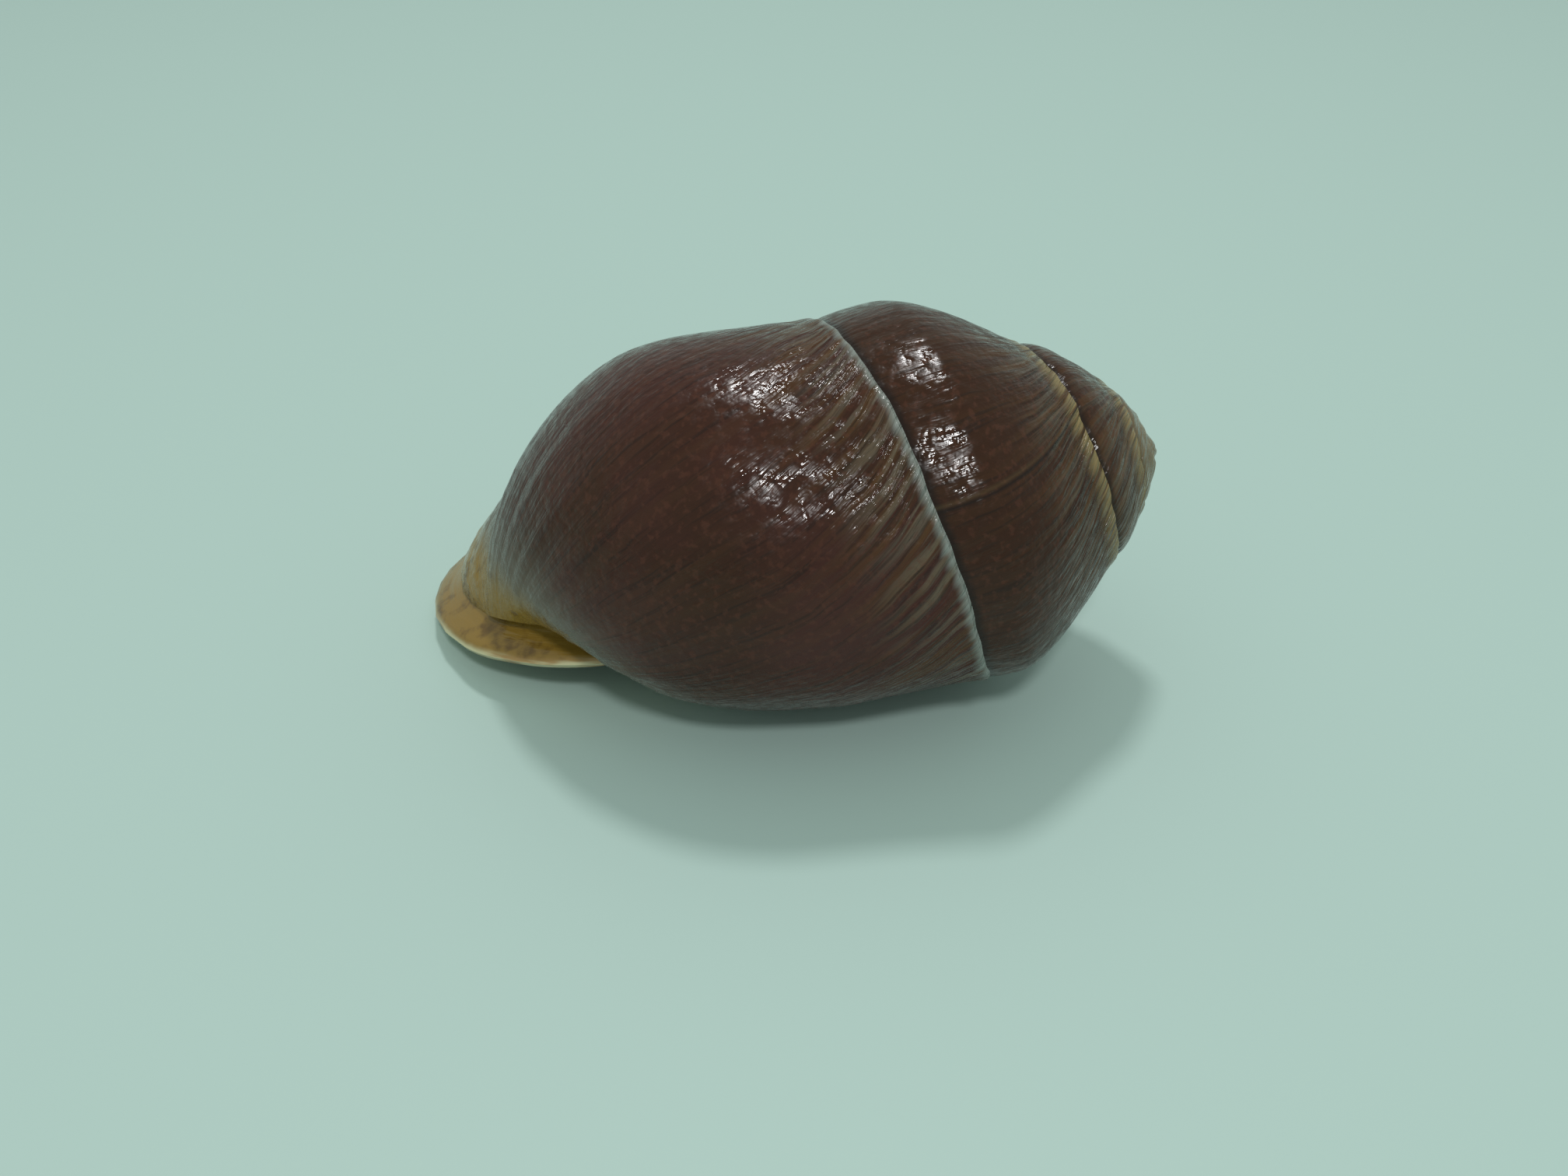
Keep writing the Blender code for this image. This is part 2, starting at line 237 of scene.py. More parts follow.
turn_table = np.linspace(WHORL_TURNS[0], 0.0, TABLE_ROWS)
spiral_table = np.cumsum(2 * np.pi * smooth_through(turn_table, WHORL_RADII))
spiral_table *= turn_table[1] - turn_table[0]


def along_spiral(t):
    """The distance that the shell had grown at turn t."""
    return np.interp(t, turn_table, spiral_table)


def behind_lip(t):
    """The distance that the shell grew from turn t on."""
    return float(spiral_table[-1] - along_spiral(t))


# Land snail shell: relief of the outside
# Each whorl starts with a proud edge that it lays on the one before. Below the edge the growth
# lines pucker the surface, and a few shallow dents and undulations lie between them.

EDGE_RISE = 0.22
EDGE_STEP = 0.22
EDGE_WIDTH = 1.5
EDGE_FALL = 0.8
EDGE_UNEVEN = 0.5
EDGE_UNEVEN_PITCH = 5.0
EDGE_SEED = 3.1
WRINKLE_HEIGHT = 0.11
WRINKLE_PITCH = 1.7
WRINKLE_LENGTH = 6.0
WRINKLE_REACH = 5.0
WRINKLE_SEED = 7.7
WAVE_HEIGHT = 0.07
WAVE_PITCH = 3.4
WAVE_LENGTH = 17.0
WAVE_SEED = 1.9
NEXT_EDGE_FADE = 0.8
NEXT_SUTURE_LEAVES = 60.0
LIP_CALM = 6.0

# The growth lines lean back under the upper edge, and more steeply on the older whorls.
LEAN = 1.0
LEAN_REACH = 11.0
OLD_LEAN = 2.5
OLD_LEAN_REACH = 2.5
OLD_LEAN_LOSS = 0.2
OLD_LEAN_FROM = -0.8
OLD_LEAN_FADE = 0.3
LEAN_FADE_TURNS = 0.25

# Each dent: its centre, its size and its depth.
DENTS = (
    ((0.6, -16.5, 25.9), 2.0, 0.18), ((3.2, -18.7, 24.5), 1.6, 0.16), ((1.2, -21.7, 22.0), 1.5, 0.18),
    ((6.2, -20.0, 23.4), 2.0, 0.16), ((-2.3, -24.5, 13.0), 1.6, 0.16), ((6.7, -23.7, 12.6), 1.8, 0.18),
    ((8.7, -15.0, 27.0), 1.5, 0.12), ((9.9, -19.4, 24.0), 1.4, 0.12), ((13.7, -22.6, 13.5), 1.8, 0.14),
)
DENT_RIM = 1.2
DENT_FALL = 1.6

# Growth stopped for a time on the whorl before the last, and left a low ridge there.
REST_TURN = -1.44
REST_WIDTH = 0.8
REST_HEIGHT = 0.06


def growth_line(turns, at, below):
    """The growth line through a point, as the distance grown when it was laid at the upper edge."""
    lean = LEAN * LEAN_REACH * (1.0 - np.exp(-below / LEAN_REACH))
    old = OLD_LEAN * (1.0 - np.exp(-below / OLD_LEAN_REACH)) - OLD_LEAN_LOSS * below
    old = old * ease((OLD_LEAN_FROM - turns) / OLD_LEAN_FADE)
    to_lip = ease((turns + LEAN_FADE_TURNS) / LEAN_FADE_TURNS)
    return (along_spiral(at) + lean + old) * (1.0 - to_lip) + along_spiral(turns) * to_lip


def noise_at(x, y, seed):
    """Smooth noise at each pair of places."""
    flat = [noise.noise((u, v, seed)) for u, v in zip(np.ravel(x), np.ravel(y))]
    return np.array(flat).reshape(np.shape(x))


def relief_of(line, below, above_next, to_lip):
    """The height of the relief on a growth line, below the upper suture and above the next one."""
    uneven = 1.0 + EDGE_UNEVEN * noise_at(line / EDGE_UNEVEN_PITCH, below * 0.0, EDGE_SEED)
    edge = EDGE_RISE * uneven * ease(below / EDGE_STEP)
    edge *= 1.0 - EDGE_FALL * ease((below - EDGE_STEP) / EDGE_WIDTH)
    edge *= 1.0 - ease((below - EDGE_WIDTH) / (2.0 * EDGE_WIDTH))
    near = np.exp(-below / WRINKLE_REACH)
    wrinkles = noise_at(line / WRINKLE_PITCH, below / WRINKLE_LENGTH, WRINKLE_SEED)
    wrinkles *= WRINKLE_HEIGHT * near
    waves = WAVE_HEIGHT * noise_at(line / WAVE_PITCH, below / WAVE_LENGTH, WAVE_SEED)
    rest = REST_HEIGHT * np.exp(-(((line - along_spiral(REST_TURN)) / REST_WIDTH) ** 2))
    calm = ease(below / EDGE_STEP) * ease(to_lip / LIP_CALM)
    return (edge + (wrinkles + waves + rest) * calm) * ease(above_next / NEXT_EDGE_FADE)


def dents_at(points):
    """The height of the shallow dents, which are hollows with a low rim round them."""
    height = np.zeros(points.shape[:-1])
    for centre, size, dent_depth in DENTS:
        away = np.linalg.norm(points - np.array(centre), axis=-1) / size
        height -= dent_depth * (1.0 - DENT_RIM * away**2) * np.exp(-DENT_FALL * away**2)
    return height


def outside_rings(turns, a, middle, leaving):
    """Outside points on growth lines, with their two maps: turns holds each line's suture turn."""
    turns = turns[:, None]
    at = turns - lag_of(a, middle)
    plain = in_space(at, *section(at, a))
    below = lengths_along(plain)
    to_next = below[:, SIDE_COLUMNS:SIDE_COLUMNS + 1]
    above_next = np.abs(to_next - below) + NEXT_SUTURE_LEAVES * leaving[:, None]
    line = growth_line(turns, at, below)
    to_lip = np.broadcast_to(spiral_table[-1] - along_spiral(turns), below.shape)
    height = relief_of(line, below, above_next, to_lip) * (a < 2.0)
    height = height + dents_at(plain) * ease(below / EDGE_WIDTH) * ease(above_next / NEXT_EDGE_FADE)
    points = in_space(at, *offset_section(at, a, height))
    return points, np.stack([line, below], -1), np.stack([to_lip, above_next], -1)


lag_steps = round(SUTURE_LAG * STEPS)
first_turn = WHORL_TURNS[0]
last_steps = STEPS - lag_steps
last_turns = np.arange(-last_steps, 1) / STEPS
corner = float(lower_suture(np.array([-1.0]))[0])

SUTURE_LANDING = 0.08
COLUMELLA_LANDING = (1.45, 1.62)
evenly = np.linspace(0.0, 1.0, SIDE_COLUMNS + 1)
side_places = CROWDING * evenly + (1.0 - CROWDING) * evenly**2
land_in, land_out = COLUMELLA_LANDING
last_a = np.concatenate([
    side_places * corner,
    np.linspace(corner, corner + SUTURE_LANDING, LIP_ROWS + 1)[1:],
    np.linspace(corner + SUTURE_LANDING, land_in, BASE_COLUMNS + 1)[1:],
    np.linspace(land_in, land_out, LIP_ROWS + 1)[1:],
    np.linspace(land_out, 2.0, ROOT_COLUMNS + 1)[1:],
])
last_middle = lower_suture(np.minimum(last_turns - SUTURE_LAG, -1.0))[:, None]
last_rings, last_growth, last_place = outside_rings(
    last_turns, np.tile(last_a, (last_steps + 1, 1)), last_middle, last_turns - last_turns[0]
)

# The rings start a little after the apex, where they are large enough to tell their points apart.
APEX_CAP_TURNS = 0.25
early_steps = int(np.floor((-1.0 - first_turn - APEX_CAP_TURNS) * STEPS))
early_turns = -1.0 + SUTURE_LAG - np.arange(early_steps, -1, -1) / STEPS
early_middle = lower_suture(early_turns - SUTURE_LAG)[:, None]
early_rings, early_growth, early_place = outside_rings(
    early_turns, side_places[None, :] * early_middle, early_middle, early_turns * 0.0
)
tip = np.tile(in_space(np.array([first_turn]), np.zeros(1), np.zeros(1))[0], (1, SIDE_COLUMNS + 1, 1))
early_rings = np.concatenate([tip, early_rings])
early_growth = np.concatenate([early_growth[:1], early_growth])
early_place = np.concatenate([early_place[:1], early_place])

# Land snail shell: mouth and lip
# The mouth is an oval in a plane close to the ground. The full-grown snail thickened its edge
# and turned it outwards as a broad lip, which runs round the pillar and ends on the last whorl.

MOUTH_CENTRE = (-12.0, -3.3)
MOUTH_RADII = (11.3, 9.9)
MOUTH_START = 6.0
MOUTH_BASE = 222.0
MOUTH_END = 322.0
MOUTH_LEVEL = 3.1
MOUTH_SLOPE = (0.11, -0.116)
LIP_WIDTH = 3.2
LIP_END_WIDTH = 0.35
LIP_WIDENING = 0.2
LIP_PROFILE = (
    (0.30, -2.1), (0.58, -1.5), (0.90, -1.05), (1.0, -0.5), (0.86, 0.0), (0.45, 0.2), (0.0, -0.4)
)
LIP_UNEVEN = 0.05
LIP_UNEVEN_DEGREES = 17.0
LIP_SEED = 5.3
FLARE_TURNS = 0.15
LIP_END_FADE = 0.10
BASE_REACH_START = 1.15
BASE_REACH_TURNS = 0.16
CHINK_BEND = 1.7
CHINK_WIDTH = 0.9
CHINK_DEPTH = 1.1
CHINK_OPENING = 0.25
CHINK_CLOSING = 0.2
CHINK_AIM = 9.0


def mouth_point(angle, out, forward):
    """A point near the mouth's edge: out from the edge in its plane, and forward towards the ground."""
    cx, cy = MOUTH_CENTRE
    ax, ay = MOUTH_RADII
    c = np.cos(angle)
    s = np.sin(angle)
    normal = np.stack([c / ax, s / ay], -1)
    normal /= np.linalg.norm(normal, axis=-1)[..., None]
    x = cx + ax * c + out * normal[..., 0]
    y = cy + ay * s + out * normal[..., 1]
    level = MOUTH_LEVEL + MOUTH_SLOPE[0] * (x - cx) + MOUTH_SLOPE[1] * (y - cy)
    return np.stack([x, y, level - forward], -1)


def lip_profile(rows):
    """Out and forward places across the lip, from its root behind to the mouth's edge."""
    points = np.array(LIP_PROFILE)
    points = np.vstack([2 * points[0] - points[1], points, 2 * points[-1] - points[-2]])
    at = np.linspace(0.0, len(LIP_PROFILE) - 1.0, rows + 1)
    i = np.minimum(at.astype(int), len(LIP_PROFILE) - 2)
    u = (at - i)[:, None]
    p0, p1, p2, p3 = points[i], points[i + 1], points[i + 2], points[i + 3]
    squared = 2 * p0 - 5 * p1 + 4 * p2 - p3
    cubed = 3 * p1 - p0 - 3 * p2 + p3
    return 0.5 * (2 * p1 + (p2 - p0) * u + squared * u**2 + cubed * u**3)


profile = lip_profile(LIP_ROWS)
arc = lengths_along(last_rings[-1:])[0]
outer_angles = MOUTH_START + (MOUTH_BASE - MOUTH_START) * arc / arc[-1]
pillar_columns = last_steps
behind = last_turns[::-1] / last_turns[0]
pillar_angles = MOUTH_BASE + (MOUTH_END - MOUTH_BASE) * behind[1:] ** CHINK_BEND
angles = np.radians(np.concatenate([outer_angles, pillar_angles]))
round_mouth = (angles - angles[0]) / (angles[-1] - angles[0])
start_fade = ease(round_mouth / LIP_END_FADE)[:, None, None]
end_fade = ease((1.0 - round_mouth) / LIP_END_FADE)[:, None, None]
widening = ease(round_mouth / LIP_WIDENING) * ease((1.0 - round_mouth) / LIP_WIDENING)
width = LIP_WIDTH * (LIP_END_WIDTH + (1.0 - LIP_END_WIDTH) * widening)
lip_noise = noise_at(np.degrees(angles) / LIP_UNEVEN_DEGREES, angles * 0.0, LIP_SEED)
width = width * (1.0 + LIP_UNEVEN * lip_noise)
lip_out = width[:, None] * profile[None, :, 0]
lip_forward = np.tile(profile[None, :, 1], (len(angles), 1))
oval = mouth_point(angles[:, None], lip_out, lip_forward)
start_landing = last_rings[0][SIDE_COLUMNS:SIDE_COLUMNS + LIP_ROWS + 1]
end_first = SIDE_COLUMNS + LIP_ROWS + BASE_COLUMNS
end_landing = last_rings[0][end_first:end_first + LIP_ROWS + 1][::-1]
outer_count = len(last_a)
mouth_line = np.concatenate([last_rings[-1], np.tile(end_landing[0], (pillar_columns, 1))])
near_start = mouth_line[:, None, :] + (start_landing - start_landing[0])[None, :, :]
lip = near_start * (1 - start_fade) + oval * start_fade
lip = end_landing[None, :, :] * (1 - end_fade) + lip * end_fade

root_angles = np.radians(np.concatenate([[MOUTH_BASE], pillar_angles]))
gap = CHINK_WIDTH * ease(behind / CHINK_OPENING)
root_out = width[outer_count - 1:] * profile[0, 0] + gap
base_edge = mouth_point(root_angles, root_out, profile[0, 1] - gap)[::-1]
reach = ease((last_turns - last_turns[0]) / BASE_REACH_TURNS)[:, None, None]
lower = ease((last_a - BASE_REACH_START) / (2.0 - BASE_REACH_START))[None, :, None]
last_rings = last_rings + reach * lower * (base_edge - last_rings[:, -1])[:, None, :]
outer_flare = ease((last_turns + FLARE_TURNS) / FLARE_TURNS)[:, None, None]
last_rings = last_rings + outer_flare * (lip[:outer_count, 0] - last_rings[-1])[None, :, :]

# Within 20 mm of the lip, the map holds the straight distance to it.
LIP_NEAR = 20.0
to_lip = last_place[..., 0]
flat_rings = last_rings.reshape(-1, 3)
straight = np.array([np.linalg.norm(lip[:, 0] - point, axis=1).min() for point in flat_rings])
straight = straight.reshape(to_lip.shape)
last_place[..., 0] = np.where(straight < LIP_NEAR, np.minimum(straight, to_lip), to_lip)

lip_round = lengths_along(lip[:, LIP_ROWS // 2][None])[0]
lip_growth = np.stack([np.broadcast_to(lip_round[:, None], lip.shape[:2]), lengths_along(lip)], -1)
lip_across = np.linspace(0.0, 1.0, LIP_ROWS + 1)[None, :]
lip_place = np.stack(np.broadcast_arrays(round_mouth[:, None], lip_across), -1)

# Land snail shell: inside
# The inside of the tube is smooth and glazed. It coils up round the pillar on the axis, and faint
# swellings in it run parallel to the lip.

WALL = 1.1
SMALL_WALL = 0.12
HOLLOW_TURNS = 2.5
HOLLOW_STEPS = 70
HOLLOW_CROWDING = 1.4
COLUMELLA_DEEP = 1.93
COLUMELLA_TURNS = 0.3
INNER_BASE = 0.925
INNER_CORNER = 0.4
PILLAR_RADIUS = 0.21
PILLAR_SLIDES = (0.02, 0.29)
SWELLING_HEIGHT = 0.16
SWELLING_PITCH = 2.3
SWELLING_REACH = 0.35
SWELLING_DRIFT = 0.8
SWELLING_DRIFT_LENGTH = 3.0
SWELLING_START = 2.0

hollow_turns = -HOLLOW_TURNS * np.linspace(1.0, 0.0, HOLLOW_STEPS + 1) ** HOLLOW_CROWDING
wall_turns = hollow_turns - 1.0 + SUTURE_LAG
wall_middle = lower_suture(wall_turns - SUTURE_LAG)[:, None]
wall_end = land_in + (COLUMELLA_DEEP - land_in) * ease(-hollow_turns / COLUMELLA_TURNS)
spread = np.linspace(0.0, 1.0, BASE_COLUMNS + 1)[None, :]
wall_a = (wall_middle + SUTURE_LANDING) * (1 - spread) + wall_end[:, None] * spread
wall_at = wall_turns[:, None] - lag_of(wall_a, wall_middle)
wall_rings = in_space(wall_at, *section(wall_at, wall_a))

inner_a = np.tile(last_a * INNER_BASE, (HOLLOW_STEPS + 1, 1))
inner_turns = hollow_turns[:, None] - lag_of(last_a, corner)[None, :]
depth = spiral_table[-1] - along_spiral(hollow_turns)
drift = SWELLING_DRIFT * np.sin(depth / SWELLING_DRIFT_LENGTH)
swelling = SWELLING_HEIGHT * np.sin(2 * np.pi * depth / SWELLING_PITCH + drift)
swelling *= ease(depth / SWELLING_START) * ease(1.0 + hollow_turns / SWELLING_REACH)
thickness = np.minimum(WALL, SMALL_WALL * smooth_through(hollow_turns, WHORL_RADII)) + swelling
inner_r, inner_h = offset_section(inner_turns, np.maximum(inner_a, INNER_CORNER), -thickness[:, None])
inner_rings = in_space(inner_turns, inner_r, inner_h)
away = ease(inner_a / INNER_CORNER)[:, :, None]
inner_rings = wall_rings[:, :1, :] * (1 - away) + inner_rings * away
base_end = inner_rings[:, -1:, :]
wall_last = wall_rings[:, -1:, :]


def on_pillar(points, slide):
    """Points moved in to the pillar's radius, and along the axis by slide of the whorl's radius."""
    k = axes()[0]
    size = smooth_through(hollow_turns, WHORL_RADII)[:, None, None]
    from_apex = points - np.array(APEX)
    along = (from_apex @ k)[..., None] * k
    radial = from_apex - along
    radial /= np.linalg.norm(radial, axis=-1)[..., None]
    return np.array(APEX) + along + radial * PILLAR_RADIUS * size - slide * size * k


pillar_b = np.linspace(0.0, 1.0, pillar_columns + 1)[None, :, None]
pillar_top = on_pillar(wall_last, PILLAR_SLIDES[1])
pillar_rings = cubic(pillar_b, base_end, on_pillar(base_end, PILLAR_SLIDES[0]), pillar_top, wall_last)
hollow_flare = ease((hollow_turns + FLARE_TURNS) / FLARE_TURNS)[:, None, None]
inner_rings = inner_rings + hollow_flare * (lip[:outer_count, -1] - inner_rings[-1])[None, :, :]
pillar_rings = pillar_rings + hollow_flare * (lip[outer_count - 1:, -1] - pillar_rings[-1])[None, :, :]


def inside_maps(rings):
    """Depth behind the lip and place across, and the turn, for a sheet of the inside."""
    along = np.broadcast_to(depth[:, None], rings.shape[:2])
    turns = np.broadcast_to(hollow_turns[:, None], rings.shape[:2])
    return np.stack([along, lengths_along(rings)], -1), np.stack([turns, turns * 0.0], -1)


root = lip[outer_count - 1:, 0]
edge = last_rings[::-1, -1]
across_chink = np.linspace(0.0, 1.0, ROOT_COLUMNS + 1)[None, :, None]
chink = root[:, None, :] * (1 - across_chink) + edge[:, None, :] * across_chink
sunk = ease(behind / CHINK_OPENING) * ease((1.0 - behind) / CHINK_CLOSING)
inward = np.array([MOUTH_CENTRE[0], MOUTH_CENTRE[1], MOUTH_LEVEL + CHINK_AIM]) - (root + edge) / 2
inward /= np.linalg.norm(inward, axis=1)[:, None]
bow = 4 * CHINK_DEPTH * sunk[:, None, None] * across_chink * (1 - across_chink)
chink = chink + bow * inward[:, None, :]
first_ring = last_rings[0][-(ROOT_COLUMNS + 1):]
chink_end = ease(1.0 - (1.0 - behind) / CHINK_CLOSING)[:, None, None]
chink = chink + chink_end * (first_ring - chink[-1])[None, :, :]
chink_growth = np.broadcast_to(last_growth[::-1, -1:], (*chink.shape[:2], 2))
chink_place = np.broadcast_to(last_place[::-1, -1:], (*chink.shape[:2], 2))

# Land snail shell: mesh
# Each stretch of the surface is a grid laid over its points, and the stretches are merged where
# they meet. Two UV maps carry the growth lines, in millimetres, to the materials.

SHARP_ANGLE = float(np.radians(38.0))
SEAM_GAP = 1e-7
SKIN, CALLUS, GLAZE = 0, 1, 2

bm = bmesh.new()
growth_map = bm.loops.layers.uv.new("growth")
place_map = bm.loops.layers.uv.new("place")


def sheet(points, growth, place, material):
    """A grid laid over points, an array of rows by columns by 3, with its two maps and its material."""
    rows = points.shape[0] - 1
    columns = points.shape[1] - 1
    before = len(bm.faces)
    made = bmesh.ops.create_grid(bm, x_segments=columns, y_segments=rows, size=0.5)
    where = {}
    for vertex in made["verts"]:
        i = round((vertex.co.y + 0.5) * rows)
        j = round((vertex.co.x + 0.5) * columns)
        vertex.co = points[i, j] * MM
        where[vertex] = (i, j)
    bm.faces.ensure_lookup_table()
    for face in bm.faces[before:]:
        face.material_index = material
        face.smooth = True
        for loop in face.loops:
            loop[growth_map].uv = growth[where[loop.vert]]
            loop[place_map].uv = place[where[loop.vert]]


sheet(early_rings, early_growth, early_place, SKIN)
sheet(last_rings, last_growth, last_place, SKIN)
sheet(chink, chink_growth, chink_place, SKIN)
sheet(lip, lip_growth, lip_place, CALLUS)
sheet(wall_rings, *inside_maps(wall_rings), GLAZE)
sheet(inner_rings, *inside_maps(inner_rings), GLAZE)
sheet(pillar_rings, *inside_maps(pillar_rings), GLAZE)

bmesh.ops.remove_doubles(bm, verts=bm.verts, dist=SEAM_GAP)
bmesh.ops.dissolve_degenerate(bm, edges=bm.edges, dist=SEAM_GAP)
open_edges = [edge for edge in bm.edges if edge.is_boundary]
filled = bmesh.ops.holes_fill(bm, edges=open_edges, sides=0)["faces"]
for face in filled:
    face.material_index = GLAZE
bmesh.ops.triangulate(bm, faces=filled)
bmesh.ops.recalc_face_normals(bm, faces=bm.faces)
for edge in bm.edges:
    edge.smooth = edge.calc_face_angle(0.0) < SHARP_ANGLE

corners = np.array([vertex.co for vertex in bm.verts])
low, high = (np.array(corner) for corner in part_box("shell"))
shift = (low + high) / 2 - (corners.min(axis=0) + corners.max(axis=0)) / 2
shift[2] = low[2] - corners[:, 2].min()
bmesh.ops.translate(bm, verts=bm.verts, vec=shift)

mesh = bpy.data.meshes.new("snail_shell")
bm.to_mesh(mesh)
bm.free()
snail_shell = bpy.data.objects.new("snail_shell", mesh)
bpy.context.scene.collection.objects.link(snail_shell)


# Land snail shell: skin
# The skin is a horny film over the lime, dark chestnut to olive, and glossy where it is whole. It
# is thin and pale at each upper edge and at the bend behind the lip, and yellow on the lip's back.

def colour(hex_code):
    """An sRGB hex colour as linear RGBA."""
    parts = [int(hex_code[i:i + 2], 16) / 255 for i in (1, 3, 5)]
    linear = [p / 12.92 if p <= 0.04045 else ((p + 0.055) / 1.055) ** 2.4 for p in parts]
    return (*linear, 1.0)


def add(tree, kind, inputs=None, out=0, **settings):
    """Adds a node with its settings and inputs, values or other outputs, and gives its output."""
    node = tree.nodes.new(kind)
    for name, value in settings.items():
        setattr(node, name, value)
    for name, value in (inputs or {}).items():
        if isinstance(value, bpy.types.NodeSocket):
            tree.links.new(value, node.inputs[name])
        else:
            node.inputs[name].default_value = value
    return node.outputs[out]


CHESTNUT = "#361d0f"
PLUM = "#42221c"
OLIVE = "#553a1e"
PALE_STREAK = "#726a5a"
MOTTLE = "#5a3426"
# The darkest brown colours the hairlines and the growth rest, and is also the painted shade above each
# next whorl's edge.
DARK_LINE_AND_CREASE_SHADE = "#1c110d"
EDGE_PALE = "#8b918b"
BAND_CREAM = "#8f7d54"
BAND_BROWN = "#553c20"
APEX_TAN = "#7d6e52"
BEND_PALE = "#706959"
OCHRE = "#886b2c"
HONEY = "#533a16"

PATCH_SIZE = 14.0
GRAIN_SIZE = 0.45
FLECK_SIZE = 1.6
PIT_SIZE = 0.8
DRIFT_SIZE = 6.0
DRIFT = 1.3

# Streaks: their pitch, their length and the seed of their noise.
MIDDLING_STREAKS = (0.9, 13.0, 17.0)
FINE_STREAKS = (0.6, 8.0, 29.0)
HAIR_STREAKS = (0.35, 7.0, 41.0)
PUCKER_STREAKS = (0.55, 3.2, 23.0)
HAIR_HEIGHT = 0.03
PIT_HEIGHT = 0.09

# Where a shade fades in: millimetres from the upper edge, the lip or the next whorl's edge, or
# turns back from the lip.
OLIVE_REACH = 9.0
PALE_REACH = 7.5
PUCKER_REACH = 8.0
EDGE_CLEAR = 0.5
OLD_BAND = 2.5
LAST_BAND = 1.45
BAND_WAVER = 1.2
BAND_CLEAR = 0.55
BEND_REACH = (10.0, 4.0)
LIP_BACK_REACH = (6.0, 2.5)
# The next reach sets the painted shade in the angle above the next whorl's edge.
CREASE_SHADE_REACH = (0.7, 0.1)
LAST_WHORL_TURNS = (-1.2, -0.95)
WORN_TURNS = (-2.3, -4.4)

# Lines of the growth rest: how far after it, half the width, the share of the colour, the colour.
REST_LINES = ((0.30, 0.25, 0.10, BAND_CREAM), (0.0, 0.22, 0.9, DARK_LINE_AND_CREASE_SHADE))

skin = bpy.data.materials.new("snail_skin_glossy")
skin.use_nodes = True
tree = skin.node_tree
growth = add(tree, "ShaderNodeUVMap", uv_map="growth")
place = add(tree, "ShaderNodeUVMap", uv_map="place")
spot = add(tree, "ShaderNodeTexCoord", out="Object")
below = add(tree, "ShaderNodeSeparateXYZ", {0: growth}, out="Y")
to_lip = add(tree, "ShaderNodeSeparateXYZ", {0: place}, out="X")
above_next = add(tree, "ShaderNodeSeparateXYZ", {0: place}, out="Y")

# Growth lines waver a little, so their map is bent by a soft noise 6 mm across.
soft = add(tree, "ShaderNodeTexNoise",
           {"Vector": growth, "Scale": 1 / DRIFT_SIZE, "Detail": 2.0}, out=1)
bent = add(tree, "ShaderNodeVectorMath", {0: soft, 1: (DRIFT, 0.0, 0.0), 2: growth},
           operation="MULTIPLY_ADD")


def streaks(tree, lines, pitch, length, seed):
    """Noise drawn out along the growth lines, with its pitch and length in millimetres."""
    scale = (1 / pitch, 1 / length, 0.0)
    scaled = add(tree, "ShaderNodeVectorMath", {0: lines, 1: scale, 2: (seed, seed, 0.0)},
                 operation="MULTIPLY_ADD")
    return add(tree, "ShaderNodeTexNoise", {"Vector": scaled, "Scale": 1.0, "Detail": 3.0},
               noise_dimensions="2D")


def flecked_ochre(tree, spot):
    """The colour of the lip's back: ochre with honey-brown flecks."""
    flecks = add(tree, "ShaderNodeTexNoise",
                 {"Vector": spot, "Scale": 1 / (FLECK_SIZE * MM), "Detail": 4.0})
    fleck_step = add(tree, "ShaderNodeMapRange", {0: flecks, 1: 0.50, 2: 0.70, 4: 0.75},
                     interpolation_type="SMOOTHSTEP")
    return add(tree, "ShaderNodeMix", {0: fleck_step, 6: colour(OCHRE), 7: colour(HONEY)},
               out=2, data_type="RGBA")


patches = add(tree, "ShaderNodeTexNoise",
              {"Vector": spot, "Scale": 1 / (PATCH_SIZE * MM), "Detail": 3.0})
middling = streaks(tree, bent, *MIDDLING_STREAKS)
fine = streaks(tree, bent, *FINE_STREAKS)
hair = streaks(tree, bent, *HAIR_STREAKS)

# Plum patches tinge the chestnut of the last whorl.
older, newer = (behind_lip(turn) for turn in LAST_WHORL_TURNS)
last_whorl = add(tree, "ShaderNodeMapRange", {0: to_lip, 1: older, 2: newer},
                 interpolation_type="SMOOTHSTEP")
patch_step = add(tree, "ShaderNodeMapRange", {0: patches, 1: 0.35, 2: 0.65},
                 interpolation_type="SMOOTHSTEP")
patch_step = add(tree, "ShaderNodeMath", {0: patch_step, 1: last_whorl}, operation="MULTIPLY")
base = add(tree, "ShaderNodeMix", {0: patch_step, 6: colour(CHESTNUT), 7: colour(PLUM)},
           out=2, data_type="RGBA")

# Olive-brown streaks are strongest in the 9 mm under the upper edge.
near_edge = add(tree, "ShaderNodeMapRange", {0: below, 1: OLIVE_REACH, 2: EDGE_CLEAR, 3: 0.12, 4: 0.85},
                interpolation_type="SMOOTHSTEP")
olive_step = add(tree, "ShaderNodeMapRange", {0: middling, 1: 0.42, 2: 0.68},
                 interpolation_type="SMOOTHSTEP")
olive_share = add(tree, "ShaderNodeMath", {0: olive_step, 1: near_edge}, operation="MULTIPLY")
base = add(tree, "ShaderNodeMix", {0: olive_share, 6: base, 7: colour(OLIVE)},
           out=2, data_type="RGBA")

